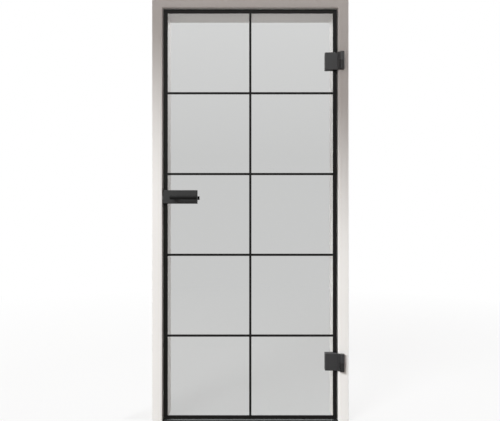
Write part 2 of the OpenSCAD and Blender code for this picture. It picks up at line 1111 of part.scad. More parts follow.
// Follower: hub with an arm that draws the latch back, turned by the spindle
module follower() {
    color(bright_steel)
        at_lock()
            difference() {
                union() {
                    bar_y(hub_d, cavity_front + slide_clear, latch_back);
                    bar_y(journal_d, cavity_front - sleeve_lip + slide_clear, base_front + base_t);
                    translate([-arm_tip_r, latch_front, 0])
                        cube([2 * arm_tip_r, latch_t, arm_r]);
                    translate([0, 0, arm_r])
                        bar_y(2 * arm_tip_r, latch_front, latch_back);
                }
                translate([-spindle_w / 2 - press_clear, -case_y, -spindle_w / 2 - press_clear])
                    cube([spindle_w + 2 * press_clear, case_y, spindle_w + 2 * press_clear]);
            }
}

// Latch bolt: bevelled head, riser, tail over the follower and a hook that the arm draws on
module latch_bolt() {
    right = arm_face + hook_w;
    color(bright_steel)
        at_lock()
            intersection() {
                translate([0, latch_back, 0])
                    rotate([90, 0, 0])
                        linear_extrude(latch_t)
                            polygon([
                                [latch_tip, -latch_h / 2],
                                [-bolt_back, -latch_h / 2],
                                [-bolt_back, tail_low],
                                [arm_face, tail_low],
                                [arm_face, hook_low],
                                [right, hook_low],
                                [right, tail_top],
                                [-bolt_back - riser_w, tail_top],
                                [-bolt_back - riser_w, latch_h / 2],
                                [latch_tip, latch_h / 2]
                            ]);
                translate([0, 0, -lock_h / 2])
                    linear_extrude(lock_h)
                        polygon([
                            [latch_tip, latch_front],
                            [right, latch_front],
                            [right, latch_back],
                            [latch_tip + latch_bevel, latch_back]
                        ]);
            }
}

// Coil spring between the latch bolt and the tab of the base plate
module latch_spring() {
    length = bolt_back - stop_out - 2 * press_clear;
    steps = spring_turns * spring_turn_steps;
    sides = spring_wire_sides;
    points = [for (step = [0 : steps]) for (side = [0 : sides - 1]) coil_point(step, side, length)];
    walls = [
        for (step = [0 : steps - 1])
            for (side = [0 : sides - 1])
                [
                    step * sides + side,
                    (step + 1) * sides + side,
                    (step + 1) * sides + (side + 1) % sides,
                    step * sides + (side + 1) % sides
                ]
    ];
    start_cap = [for (side = [0 : sides - 1]) side];
    end_cap = [for (side = [sides - 1 : -1 : 0]) steps * sides + side];
    color(bright_steel)
        at_lock()
            translate([press_clear - bolt_back, latch_mid, -spring_down])
                polyhedron(points, concat(walls, [start_cap, end_cap]));
}

// Glass pane with broken edges and the holes for the fittings
module glass_pane() {
    color(clear_glass)
        difference() {
            translate([0, glass_y, glass_z])
                crossed_block(
                    glass_w,
                    glass_h,
                    sheet_outline(glass_w, glass_t, glass_arris),
                    sheet_outline(glass_h, glass_t, glass_arris)
                );
            for (z = [lower_hinge_z, upper_hinge_z])
                at_hinge(z)
                    for (place = hinge_screw_places())
                        translate([place[0], 0, place[1]])
                            bar_y(glass_hole_d, -over, glass_t + over);
            at_lock() {
                bar_y(spindle_hole_d, -over, glass_t + over);
                at_lock_screws()
                    bar_y(glass_hole_d, -over, glass_t + over);
            }
        }
}

// One opening of the grid, counted from the lower left pane
module grid_opening(column, row) {
    open_w = (glass_w - 2 * border_w - (pane_columns - 1) * bar_w) / pane_columns;
    open_h = (glass_h - 2 * border_w - (pane_rows - 1) * bar_w) / pane_rows;
    translate([
        border_w - glass_w / 2 + column * (open_w + bar_w),
        border_w - glass_h / 2 + row * (open_h + bar_w)
    ])
        square([open_w, open_h]);
}

// Printed border and bars on the front of the glass, left out under the pads of the fittings
module grid_print() {
    color(black_print)
        translate([0, glass_y, glass_z])
            rotate([90, 0, 0])
                linear_extrude(print_t)
                    difference() {
                        square([glass_w - 2 * glass_arris, glass_h - 2 * glass_arris], center = true);
                        for (column = [0 : pane_columns - 1])
                            for (row = [0 : pane_rows - 1])
                                grid_opening(column, row);
                        for (z = [lower_hinge_z, upper_hinge_z])
                            translate([glass_x, z - glass_z])
                                hinge_pad_outline(pad_inset);
                        translate([lever_x, lever_z - glass_z])
                            lock_pad_outline(-backset - pad_inset, cover_right);
                    }
}

hinge_side_casing();
lock_side_casing();
head_casing();
hinge_side_lining();
lock_side_lining();
head_lining();
rear_hinge_side_casing();
rear_lock_side_casing();
rear_head_casing();
hinge_side_seal();
lock_side_seal();
head_seal();
threshold_strip();
strike_plate();
strike_screws();
hinge_frame_block(upper_hinge_z);  // upper_hinge_frame_block
hinge_frame_block(lower_hinge_z);  // lower_hinge_frame_block
hinge_receiver(upper_hinge_z);  // upper_hinge_receiver
hinge_receiver(lower_hinge_z);  // lower_hinge_receiver
hinge_receiver_screws();
hinge_pin(upper_hinge_z);  // upper_hinge_pin
hinge_pin(lower_hinge_z);  // lower_hinge_pin
hinge_leaf(upper_hinge_z);  // upper_hinge_leaf
hinge_leaf(lower_hinge_z);  // lower_hinge_leaf
hinge_bush(upper_hinge_z);  // upper_hinge_bush
hinge_bush(lower_hinge_z);  // lower_hinge_bush
hinge_front_pad(upper_hinge_z);  // upper_hinge_front_pad
hinge_front_pad(lower_hinge_z);  // lower_hinge_front_pad
hinge_back_pad(upper_hinge_z);  // upper_hinge_back_pad
hinge_back_pad(lower_hinge_z);  // lower_hinge_back_pad
hinge_back_plate(upper_hinge_z);  // upper_hinge_back_plate
hinge_back_plate(lower_hinge_z);  // lower_hinge_back_plate
hinge_clamp_screws();
glass_pane();
grid_print();
lock_case();
lock_base_plate();
lock_front_pad();
lock_rear_pad();
lock_rear_cover();
lock_clamp_screws();
front_lever_bush();
rear_lever_bush();
latch_spring();
front_lever();
rear_lever();
spindle();
lever_grub_screws();
follower();
latch_bolt();
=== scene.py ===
import json
import math

import bpy
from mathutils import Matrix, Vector

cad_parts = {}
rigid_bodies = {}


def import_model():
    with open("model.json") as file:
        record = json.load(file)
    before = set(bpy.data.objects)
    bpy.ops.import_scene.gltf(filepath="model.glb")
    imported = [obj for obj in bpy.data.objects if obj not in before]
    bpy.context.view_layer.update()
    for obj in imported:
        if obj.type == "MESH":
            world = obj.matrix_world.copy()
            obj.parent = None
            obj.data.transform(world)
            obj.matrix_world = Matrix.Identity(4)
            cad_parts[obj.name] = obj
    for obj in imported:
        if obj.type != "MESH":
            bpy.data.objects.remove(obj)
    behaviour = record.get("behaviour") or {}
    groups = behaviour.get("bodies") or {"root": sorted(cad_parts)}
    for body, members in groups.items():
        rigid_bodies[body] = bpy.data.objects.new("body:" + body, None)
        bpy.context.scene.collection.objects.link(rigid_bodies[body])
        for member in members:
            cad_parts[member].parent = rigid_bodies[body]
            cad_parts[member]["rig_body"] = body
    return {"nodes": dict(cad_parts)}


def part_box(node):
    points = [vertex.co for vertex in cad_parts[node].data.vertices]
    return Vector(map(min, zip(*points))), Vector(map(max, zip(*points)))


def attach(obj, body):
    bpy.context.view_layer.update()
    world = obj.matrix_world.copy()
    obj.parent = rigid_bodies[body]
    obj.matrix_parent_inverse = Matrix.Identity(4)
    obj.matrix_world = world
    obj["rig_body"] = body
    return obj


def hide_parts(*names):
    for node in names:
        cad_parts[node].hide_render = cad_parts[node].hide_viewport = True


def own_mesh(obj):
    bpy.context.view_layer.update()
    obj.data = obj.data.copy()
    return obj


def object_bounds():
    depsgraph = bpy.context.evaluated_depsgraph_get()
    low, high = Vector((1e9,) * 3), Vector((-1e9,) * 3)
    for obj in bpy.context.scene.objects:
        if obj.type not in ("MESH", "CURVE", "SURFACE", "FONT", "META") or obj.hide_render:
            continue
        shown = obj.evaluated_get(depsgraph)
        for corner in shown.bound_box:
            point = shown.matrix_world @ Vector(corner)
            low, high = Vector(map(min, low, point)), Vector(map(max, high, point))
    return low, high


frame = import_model()
cad_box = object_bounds()
nodes = frame["nodes"]

# Where a box holds its two corners, and a corner its three coordinates
LOWEST = 0
HIGHEST = 1
X = 0
Y = 1
Z = 2

# The photograph's frame and where the glass lies in it, in pixels
PHOTO_W = 500
PHOTO_H = 421
GLASS_LEFT_PX = 164.0
GLASS_RIGHT_PX = 336.6
GLASS_TOP_PX = 9.5
GLASS_BOTTOM_PX = 419.35

# Camera, with its lengths in metres; turned up by a right angle, it looks level at the door
CAMERA_DISTANCE = 2.6
SENSOR_W = 0.036
MM_PER_METRE = 1000.0
CAMERA_TURN = math.radians(90.0)

# Lamps: the key comes from the upper left in front, and a weak side light from the left reaches the faces that
# are turned to the lock side
KEY_DIRECTION = Vector((-0.5, -0.7, 0.51)).normalized()
KEY_SPREAD = math.radians(22.0)
KEY_STRENGTH = 2.8
KEY_COLOR = (0.97, 1.0, 1.0)
SIDE_DIRECTION = Vector((-0.93, -0.35, 0.1)).normalized()
SIDE_SPREAD = math.radians(30.0)
SIDE_STRENGTH = 0.45
SIDE_COLOR = (1.0, 0.91, 0.87)
LAMP_DISTANCE = 6.0

# Flags, in metres: the upper one shades the upper part of the frame, further down on the right than on the
# left, and the side one shades the channel between the casings on the lock side
FLAG_COLOR = (0.02, 0.02, 0.02)
UPPER_FLAG_DISTANCE = 1.9
UPPER_FLAG_SIZE = 4.0
SHADE_LEFT_HEIGHT = 1.53
SHADE_RIGHT_HEIGHT = 1.17
SIDE_FLAG_GAP = 0.004
SIDE_FLAG_W = 0.15

# Soft light from all round; front turns to rear where a direction's Y lies within the turn of zero
AMBIENT_FRONT = 0.265
AMBIENT_REAR = 0.9
AMBIENT_TURN = 0.2
AMBIENT_FRONT_COLOR = (1.0, 0.91, 0.87)
AMBIENT_REAR_COLOR = (1.0, 0.965, 0.945)

# How bright the backdrop is to the camera, in mirrors, where it rises to a sky, and through the glass; a ray
# whose diffuse depth is under the last value has met no matt surface yet
SEEN_COLOR = (1.0, 1.0, 1.0)
SEEN_WHITE = 1.0
MIRRORED_WHITE = 0.5
MIRRORED_SKY = 2.6
MIRRORED_SKY_START = 0.1
MIRRORED_SKY_END = 0.36
SEEN_THROUGH_GLASS = 0.64
BEFORE_FIRST_BOUNCE = 0.5

# Floor, in metres; the share of white that it shows grows from the door outwards
FLOOR_SIZE = 80.0
FLOOR_COLOR = (0.7, 0.7, 0.7)
FLOOR_ROUGHNESS = 0.8
FLOOR_SPECULAR = 0.1
FLOOR_BOUNCE_COLOR = (0.37, 0.335, 0.32)
FLOOR_WHITE_SHARE = 0.84
FLOOR_SHADE_START = 1.5
FLOOR_SHADE_END = 4.5

# Merging of a copied mesh and rounding of its edges, in metres and radians
MERGE_DISTANCE = 0.000005
FLAT_ANGLE = math.radians(0.5)
SHARP_ANGLE = math.radians(25.0)
EDGE_SEGMENTS = 3
BOARD_EDGE = 0.0005
HINGE_EDGE = 0.0008
PLATE_EDGE = 0.0006
SMALL_EDGE = 0.0004
LEVER_EDGE = 0.0008

# Lever bars and their chamfers, in metres, and which way along Y a bar faces
LEVER_BAR_H = 0.018
LEVER_CHAMFER_H = 0.0055
LEVER_CHAMFER_D = 0.003
FACING_FRONT = -1.0
FACING_REAR = 1.0

# Latch spring: the subdivision that rounds its wire
WIRE_LEVELS = 1

# CAD nodes by kind
CASINGS = (
    "hinge_side_casing", "lock_side_casing", "head_casing",
    "rear_hinge_side_casing", "rear_lock_side_casing", "rear_head_casing",
)
LININGS = ("hinge_side_lining", "lock_side_lining", "head_lining")
SEALS = ("hinge_side_seal", "lock_side_seal", "head_seal")
HINGE_LEAVES = ("upper_hinge_leaf", "lower_hinge_leaf")
HINGE_BACK_PLATES = ("upper_hinge_back_plate", "lower_hinge_back_plate")
HINGE_BLOCKS = ("upper_hinge_frame_block", "lower_hinge_frame_block")
LOCK_SHELLS = ("lock_case", "lock_rear_cover")
LEVERS = ("front_lever", "rear_lever")
STEEL_PARTS = (
    "upper_hinge_receiver", "lower_hinge_receiver", "hinge_receiver_screws",
    "upper_hinge_pin", "lower_hinge_pin", "lock_base_plate", "latch_spring", "spindle",
    "lever_grub_screws", "follower", "latch_bolt",
)
POLYMER_PARTS = (
    "upper_hinge_bush", "lower_hinge_bush", "upper_hinge_front_pad", "lower_hinge_front_pad",
    "upper_hinge_back_pad", "lower_hinge_back_pad", "lock_front_pad", "lock_rear_pad",
    "front_lever_bush", "rear_lever_bush",
)

# Noise of the mottle that the finishes share
DRIFT_DETAIL = 4.0
GRAIN_DETAIL = 3.0
RELIEF_STRENGTH = 1.0

# Finishes: two tones, scales of their drift and of the fine grain, range of roughness, height of the grain in
# metres, specular level and metallic share

# Sprayed warm white lacquer with a faint orange peel
CASING_LACQUER = dict(
    light=(0.87, 0.857, 0.842), dark=(0.845, 0.832, 0.817), drift_scale=3.0, grain_scale=420.0,
    least_roughness=0.34, most_roughness=0.46, relief=0.00004, specular=0.4, metallic=0.0,
)
LINING_LACQUER = dict(CASING_LACQUER, light=(0.85, 0.837, 0.822), dark=(0.825, 0.812, 0.797))

# Satin powder coat with a fine texture; the hinge leaves take a lighter copy of it that paints in a sheen, the
# hinge blocks a darker copy that paints in shade, and the levers a nearly black copy that paints shade into
# them
FITTING_COAT = dict(
    light=(0.0225, 0.0225, 0.0225), dark=(0.0185, 0.0185, 0.0185), drift_scale=30.0, grain_scale=1100.0,
    least_roughness=0.32, most_roughness=0.44, relief=0.00014, specular=0.35, metallic=0.0,
)
# A lighter copy of the coat, as painted sheen on the hinge leaves
LEAF_COAT_WITH_PAINTED_SHEEN = dict(
    FITTING_COAT, light=(0.0275, 0.0275, 0.0285), dark=(0.0235, 0.0235, 0.0245), specular=0.43,
)
# A darker copy of the coat, as painted shade on the hinge blocks
BLOCK_COAT_WITH_PAINTED_SHADE = dict(
    FITTING_COAT, light=(0.02, 0.0197, 0.0195), dark=(0.0165, 0.0162, 0.016), specular=0.28,
)
# A nearly black copy of the coat, as painted shade on the levers
LEVER_COAT_WITH_PAINTED_SHADE = dict(
    FITTING_COAT, light=(0.0075, 0.0074, 0.0072), dark=(0.0055, 0.0054, 0.0053),
    least_roughness=0.3, most_roughness=0.4, specular=0.12,
)

# Matt black ceramic print on the glass
GRID_PRINT = dict(
    light=(0.0085, 0.0079, 0.0074), dark=(0.006, 0.0056, 0.0052), drift_scale=14.0, grain_scale=900.0,
    least_roughness=0.3, most_roughness=0.42, relief=0.00001, specular=0.12, metallic=0.0,
)

# Bright zinc plated steel
PLATED_STEEL = dict(
    light=(0.62, 0.63, 0.65), dark=(0.5, 0.51, 0.53), drift_scale=60.0, grain_scale=700.0,
    least_roughness=0.22, most_roughness=0.36, relief=0.00002, specular=0.5, metallic=1.0,
)

# Matt black moulded polymer
MOULDED_POLYMER = dict(
    light=(0.024, 0.024, 0.025), dark=(0.016, 0.016, 0.017), drift_scale=40.0, grain_scale=1200.0,
    least_roughness=0.5, most_roughness=0.65, relief=0.00003, specular=0.5, metallic=0.0,
)

# Soft grey seal
SOFT_SEAL = dict(
    light=(0.74, 0.73, 0.71), dark=(0.68, 0.67, 0.65), drift_scale=20.0, grain_scale=800.0,
    least_roughness=0.55, most_roughness=0.7, relief=0.00003, specular=0.5, metallic=0.0,
)

# Dark grey anodised aluminium, made darker still to paint in the shade of the gap under the door; its grain
# stretched along the door by the brushing
THRESHOLD_METAL_AND_GAP_SHADE = dict(
    light=(0.034, 0.034, 0.036), dark=(0.022, 0.022, 0.024), drift_scale=60.0, grain_scale=2400.0,
    least_roughness=0.36, most_roughness=0.5, relief=0.00002, specular=0.25, metallic=0.0,
)
BRUSHING = (0.02, 1.0, 1.0)

# Clear toughened glass; its edge colour turns to its face colour as the Y of the normal goes from start to end
GLASS_IOR = 1.5
GLASS_TRANSMISSION = 1.0
GLASS_EDGE_COLOR = (0.35, 0.58, 0.5)
GLASS_FACE_COLOR = (0.9, 0.908, 0.903)
GLASS_FACE_START = 0.5
GLASS_FACE_END = 0.9
GLASS_SMEAR_SCALE = 5.0
GLASS_MOST_ROUGHNESS = 0.012
GLASS_SHADOW_COLOR = (0.45, 0.455, 0.45)


# Small helpers


def glass_box():
    """Lowest and highest corner of the glass pane."""
    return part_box("glass_pane")


def opaque(color):
    """A colour with its full alpha, as a node's socket takes it."""
    return (*color, 1.0)


def link(tree, from_socket, to_socket):
    tree.links.new(from_socket, to_socket)


def new_material(name):
    """A node material with its output and its Principled shader."""
    material = bpy.data.materials.new(name)
    material.use_nodes = True
    tree = material.node_tree
    tree.nodes.clear()
    output = tree.nodes.new("ShaderNodeOutputMaterial")
    shader = tree.nodes.new("ShaderNodeBsdfPrincipled")
    link(tree, shader.outputs["BSDF"], output.inputs["Surface"])
    return material, shader


def surface_socket(tree):
    """The socket of a material's output that takes its shader."""
    return tree.get_output_node("ALL").inputs["Surface"]


def object_place(tree):
    """Object coordinates, which keep a pattern in place on its piece."""
    return tree.nodes.new("ShaderNodeTexCoord").outputs["Object"]


def add_math(tree, operation, *values):
    """A Math node; each value is a socket or a number."""
    node = tree.nodes.new("ShaderNodeMath")
    node.operation = operation
    for socket, value in zip(node.inputs, values):
        if isinstance(value, float):
            socket.default_value = value
        else:
            link(tree, value, socket)
    return node.outputs["Value"]


def add_ramp(tree, value, from_min, from_max, to_min, to_max):
    """A value carried from one range to another."""
    ramp = tree.nodes.new("ShaderNodeMapRange")
    ramp.inputs["From Min"].default_value = from_min
    ramp.inputs["From Max"].default_value = from_max
    ramp.inputs["To Min"].default_value = to_min
    ramp.inputs["To Max"].default_value = to_max
    link(tree, value, ramp.inputs["Value"])
    return ramp.outputs["Result"]


def add_tint(tree, factor, first, second):
    """A colour that goes from the first to the second as the factor rises."""
    tint = tree.nodes.new("ShaderNodeMix")
    tint.data_type = "RGBA"
    tint.inputs["A"].default_value = opaque(first)
    tint.inputs["B"].default_value = opaque(second)
    link(tree, factor, tint.inputs["Factor"])
    return tint.outputs["Result"]


def add_shader_mix(tree, factor, first, second):
    """A shader that goes from the first to the second as the factor rises."""
    mix = tree.nodes.new("ShaderNodeMixShader")
    link(tree, factor, mix.inputs["Fac"])
    link(tree, first, mix.inputs[1])
    link(tree, second, mix.inputs[2])
    return mix.outputs["Shader"]


def dress(material, names):
    """Gives CAD nodes their material."""
    for name in names:
        obj = nodes[name]
        obj.data.materials.clear()
        obj.data.materials.append(material)


# Finishes


def make_mottle_group():
    """Two tones that drift over a surface, and a fine grain that changes its roughness."""
    group = bpy.data.node_groups.new("mottle", "ShaderNodeTree")
    face = group.interface
    face.new_socket("Vector", in_out="INPUT", socket_type="NodeSocketVector")
    for name in ("Light Tone", "Dark Tone"):
        face.new_socket(name, in_out="INPUT", socket_type="NodeSocketColor")
    for name in ("Drift Scale", "Grain Scale", "Least Roughness", "Most Roughness"):
        face.new_socket(name, in_out="INPUT", socket_type="NodeSocketFloat")
    face.new_socket("Color", in_out="OUTPUT", socket_type="NodeSocketColor")
    for name in ("Roughness", "Grain"):
        face.new_socket(name, in_out="OUTPUT", socket_type="NodeSocketFloat")
    given = group.nodes.new("NodeGroupInput")
    made = group.nodes.new("NodeGroupOutput")
    drift = group.nodes.new("ShaderNodeTexNoise")
    drift.inputs["Detail"].default_value = DRIFT_DETAIL
    grain = group.nodes.new("ShaderNodeTexNoise")
    grain.inputs["Detail"].default_value = GRAIN_DETAIL
    tone = group.nodes.new("ShaderNodeMix")
    tone.data_type = "RGBA"
    rough = group.nodes.new("ShaderNodeMapRange")
    link(group, given.outputs["Vector"], drift.inputs["Vector"])
    link(group, given.outputs["Vector"], grain.inputs["Vector"])
    link(group, given.outputs["Drift Scale"], drift.inputs["Scale"])
    link(group, given.outputs["Grain Scale"], grain.inputs["Scale"])
    link(group, drift.outputs["Fac"], tone.inputs["Factor"])
    link(group, given.outputs["Dark Tone"], tone.inputs["A"])
    link(group, given.outputs["Light Tone"], tone.inputs["B"])
    link(group, grain.outputs["Fac"], rough.inputs["Value"])
    link(group, given.outputs["Least Roughness"], rough.inputs["To Min"])
    link(group, given.outputs["Most Roughness"], rough.inputs["To Max"])
    link(group, tone.outputs["Result"], made.inputs["Color"])
    link(group, rough.outputs["Result"], made.inputs["Roughness"])
    link(group, grain.outputs["Fac"], made.inputs["Grain"])
    return group


def apply_finish(tree, shader, place, finish):
    """Lays a finish on a shader, with its mottle and the relief of its grain."""
    mottle = tree.nodes.new("ShaderNodeGroup")
    mottle.node_tree = mottle_group
    mottle.inputs["Light Tone"].default_value = opaque(finish["light"])
    mottle.inputs["Dark Tone"].default_value = opaque(finish["dark"])
    mottle.inputs["Drift Scale"].default_value = finish["drift_scale"]
    mottle.inputs["Grain Scale"].default_value = finish["grain_scale"]
    mottle.inputs["Least Roughness"].default_value = finish["least_roughness"]
    mottle.inputs["Most Roughness"].default_value = finish["most_roughness"]
    bump = tree.nodes.new("ShaderNodeBump")
    bump.inputs["Strength"].default_value = RELIEF_STRENGTH
    bump.inputs["Distance"].default_value = finish["relief"]
    link(tree, place, mottle.inputs["Vector"])
    link(tree, mottle.outputs["Color"], shader.inputs["Base Color"])
    link(tree, mottle.outputs["Roughness"], shader.inputs["Roughness"])
    link(tree, mottle.outputs["Grain"], bump.inputs["Height"])
    link(tree, bump.outputs["Normal"], shader.inputs["Normal"])
    shader.inputs["Specular IOR Level"].default_value = finish["specular"]
    shader.inputs["Metallic"].default_value = finish["metallic"]


def make_finish(name, finish):
    """A material of one finish."""
    material, shader = new_material(name)
    tree = material.node_tree
    apply_finish(tree, shader, object_place(tree), finish)
    return material


def make_threshold_metal_and_gap_shade():
    """Anodised metal, brushed along the door, and darkened to paint in the shade of the gap under the door."""
    material, shader = new_material("dark_anodised_threshold_and_gap_shade")
    tree = material.node_tree
    stretch = tree.nodes.new("ShaderNodeMapping")
    stretch.inputs["Scale"].default_value = BRUSHING
    link(tree, object_place(tree), stretch.inputs["Vector"])
    apply_finish(tree, shader, stretch.outputs["Vector"], THRESHOLD_METAL_AND_GAP_SHADE)
    return material


def make_glass():
    """Clear glass with a green cast at its ground edges and faint smears; it throws a light shadow."""
    material, shader = new_material("clear_toughened_glass")
    tree = material.node_tree
    shader.inputs["Transmission Weight"].default_value = GLASS_TRANSMISSION
    shader.inputs["IOR"].default_value = GLASS_IOR
    shape = tree.nodes.new("ShaderNodeNewGeometry")
    split = tree.nodes.new("ShaderNodeSeparateXYZ")
    link(tree, shape.outputs["Normal"], split.inputs["Vector"])
    across = add_math(tree, "ABSOLUTE", split.outputs["Y"])
    is_face = add_ramp(tree, across, GLASS_FACE_START, GLASS_FACE_END, 0.0, 1.0)
    link(tree, add_tint(tree, is_face, GLASS_EDGE_COLOR, GLASS_FACE_COLOR), shader.inputs["Base Color"])
    smear = tree.nodes.new("ShaderNodeTexNoise")
    smear.inputs["Scale"].default_value = GLASS_SMEAR_SCALE
    link(tree, object_place(tree), smear.inputs["Vector"])
    roughness = add_ramp(tree, smear.outputs["Fac"], 0.0, 1.0, 0.0, GLASS_MOST_ROUGHNESS)
    link(tree, roughness, shader.inputs["Roughness"])
    path = tree.nodes.new("ShaderNodeLightPath")
    clear = tree.nodes.new("ShaderNodeBsdfTransparent")
    clear.inputs["Color"].default_value = opaque(GLASS_SHADOW_COLOR)
    passed = add_shader_mix(tree, path.outputs["Is Shadow Ray"], shader.outputs["BSDF"], clear.outputs["BSDF"])
    link(tree, passed, surface_socket(tree))
    return material


def dress_nodes():
    """Gives every CAD node its finish."""
    dress(make_finish("warm_white_casing_lacquer", CASING_LACQUER), CASINGS)
    dress(make_finish("warm_white_lining_lacquer", LINING_LACQUER), LININGS)
    dress(make_finish("grey_soft_seal", SOFT_SEAL), SEALS)
    # The threshold's darker tone paints in the shade of the gap under the door
    dress(make_threshold_metal_and_gap_shade(), ("threshold_strip",))
    coat = make_finish("anthracite_powder_coat", FITTING_COAT)
    dress(coat, LOCK_SHELLS + ("lock_clamp_screws", "strike_plate", "strike_screws"))
    # The hinge leaves take a lighter copy of the coat, which paints in a sheen
    leaf_coat_with_painted_sheen = make_finish("anthracite_hinge_leaf_coat_painted_sheen", LEAF_COAT_WITH_PAINTED_SHEEN)
    dress(leaf_coat_with_painted_sheen, HINGE_LEAVES + HINGE_BACK_PLATES + ("hinge_clamp_screws",))
    # The hinge blocks take a darker copy of the coat, which paints in shade
    dress(make_finish("anthracite_hinge_block_coat_painted_shade", BLOCK_COAT_WITH_PAINTED_SHADE), HINGE_BLOCKS)
    # The levers take a nearly black copy of the coat, which paints shade into them
    dress(make_finish("dark_lever_coat_painted_shade", LEVER_COAT_WITH_PAINTED_SHADE), LEVERS)
    dress(make_finish("bright_plated_steel", PLATED_STEEL), STEEL_PARTS)
    dress(make_finish("black_moulded_polymer", MOULDED_POLYMER), POLYMER_PARTS)
    dress(make_glass(), ("glass_pane",))
    dress(make_finish("black_grid_print", GRID_PRINT), ("grid_print",))


# Boards and fittings with softened edges


def copy_node(name, ending):
    """A copy of a CAD node to work on, its loose triangles merged to whole faces."""
    bpy.ops.object.select_all(action="DESELECT")
    piece = bpy.data.objects.new(name + ending, nodes[name].data.copy())
    bpy.context.scene.collection.objects.link(piece)
    bpy.context.view_layer.objects.active = piece
    piece.select_set(True)
    bpy.ops.mesh.customdata_custom_splitnormals_clear()
    bpy.ops.object.mode_set(mode="EDIT")
    bpy.ops.mesh.select_all(action="SELECT")
    bpy.ops.mesh.remove_doubles(threshold=MERGE_DISTANCE)
    bpy.ops.mesh.dissolve_limited(angle_limit=FLAT_ANGLE)
    bpy.ops.object.mode_set(mode="OBJECT")
    return piece


def stand_in(piece, name):
    """The copy takes the place of its CAD node, on the same body and with the same finish."""
    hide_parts(name)
    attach(piece, nodes[name]["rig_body"])


def soften(piece, name, width):
    """Rounds the edges of a copy and stands it in for its CAD node."""
    bevel = piece.modifiers.new("rounded_edges", "BEVEL")
    bevel.width = width
    bevel.segments = EDGE_SEGMENTS
    bevel.limit_method = "ANGLE"
    bevel.angle_limit = SHARP_ANGLE
    bevel.harden_normals = True
    bpy.ops.object.shade_smooth_by_angle(angle=SHARP_ANGLE)
    bpy.ops.object.modifier_apply(modifier=bevel.name)
    stand_in(piece, name)


def soften_nodes(names, width):
    """Softens a copy of each CAD node."""
    for name in names:
        soften(copy_node(name, "_softened"), name, width)


def chamfer_lever(name, face_y, facing):
    """Cuts the two long edges of a lever bar, along the side of it that shows."""
    low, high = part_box(name)
    middle = (low[Z] + high[Z]) / 2
    reach = LEVER_BAR_H / 2 - LEVER_CHAMFER_H
    bpy.ops.object.mode_set(mode="EDIT")
    for up in (1.0, -1.0):
        bpy.ops.mesh.select_all(action="SELECT")
        bpy.ops.mesh.bisect(
            plane_co=(0.0, face_y, middle + up * reach),
            plane_no=Vector((0.0, facing * LEVER_CHAMFER_H, up * LEVER_CHAMFER_D)).normalized(),
            use_fill=True,
            clear_outer=True,
            threshold=MERGE_DISTANCE,
        )
    bpy.ops.object.mode_set(mode="OBJECT")


def soften_lever(name, face_y, facing):
    """Chamfers a copy of a lever, then softens it."""
    piece = copy_node(name, "_softened")
    chamfer_lever(name, face_y, facing)
    soften(piece, name, LEVER_EDGE)


def soften_frame():
    """Breaks the edges of the boards, which leaves a hairline along each mitre."""
    soften_nodes(CASINGS + LININGS, BOARD_EDGE)


def soften_fittings():
    """Breaks the edges of the hinges, the lock, the small plates and the levers."""
    soften_nodes(HINGE_LEAVES + HINGE_BLOCKS, HINGE_EDGE)
    soften_nodes(LOCK_SHELLS + HINGE_BACK_PLATES, PLATE_EDGE)
    soften_nodes(("strike_plate", "latch_bolt", "threshold_strip"), SMALL_EDGE)
    soften_lever("front_lever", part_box("front_lever")[LOWEST][Y], FACING_FRONT)
    soften_lever("rear_lever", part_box("rear_lever")[HIGHEST][Y], FACING_REAR)


def make_spring():
    """The coil spring in the lock, with round wire."""
    name = "latch_spring"
    piece = copy_node(name, "_coil")
    rounding = piece.modifiers.new("round_wire", "SUBSURF")
    rounding.levels = WIRE_LEVELS
    rounding.render_levels = WIRE_LEVELS
    bpy.ops.object.shade_smooth()
    bpy.ops.object.modifier_apply(modifier=rounding.name)
    stand_in(piece, name)
    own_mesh(piece)


# Studio


def metres_per_pixel():
    """What a pixel of the photograph measures on the glass."""
    low, high = glass_box()
    return (high[Z] - low[Z]) / (GLASS_BOTTOM_PX - GLASS_TOP_PX)


def make_camera():
    """Looks straight at the glass, placed so that the glass falls on its pixels."""
    low, high = glass_box()
    step = metres_per_pixel()
    data = bpy.data.cameras.new("photo_camera")
    data.sensor_width = SENSOR_W * MM_PER_METRE
    data.lens = SENSOR_W * MM_PER_METRE * CAMERA_DISTANCE / (PHOTO_W * step)
    camera = bpy.data.objects.new("photo_camera", data)
    bpy.context.scene.collection.objects.link(camera)
    glass_px_x = (GLASS_LEFT_PX + GLASS_RIGHT_PX) / 2
    glass_px_z = (GLASS_TOP_PX + GLASS_BOTTOM_PX) / 2
    camera.location = (
        (low[X] + high[X]) / 2 - (glass_px_x - PHOTO_W / 2) * step,
        low[Y] - CAMERA_DISTANCE,
        (low[Z] + high[Z]) / 2 + (glass_px_z - PHOTO_H / 2) * step,
    )
    camera.rotation_euler = (CAMERA_TURN, 0.0, 0.0)
    bpy.context.scene.camera = camera


def make_sun(name, direction, spread, strength, color):
    """A distant soft lamp that shines from a direction onto the middle of the front."""
    low, high = cad_box
    aim = Vector((0.0, low[Y], (low[Z] + high[Z]) / 2))
    data = bpy.data.lights.new(name, "SUN")
    data.angle = spread
    data.energy = strength
    data.color = color
    lamp = bpy.data.objects.new(name, data)
    bpy.context.scene.collection.objects.link(lamp)
    lamp.location = aim + direction * LAMP_DISTANCE
    lamp.rotation_euler = (aim - lamp.location).to_track_quat("-Z", "Y").to_euler()


def make_flag(name, corners):
    """A dark board that keeps lamp light off; the camera, mirrors and the glass don't see it."""
    mesh = bpy.data.meshes.new(name)
    mesh.from_pydata([tuple(corner) for corner in corners], [], [(0, 1, 2, 3)])
    flag = bpy.data.objects.new(name, mesh)
    bpy.context.scene.collection.objects.link(flag)
    material, shader = new_material(name + "_cloth")
    shader.inputs["Base Color"].default_value = opaque(FLAG_COLOR)
    mesh.materials.append(material)
    flag.visible_camera = False
    flag.visible_glossy = False
    flag.visible_transmission = False
    flag.visible_diffuse = False


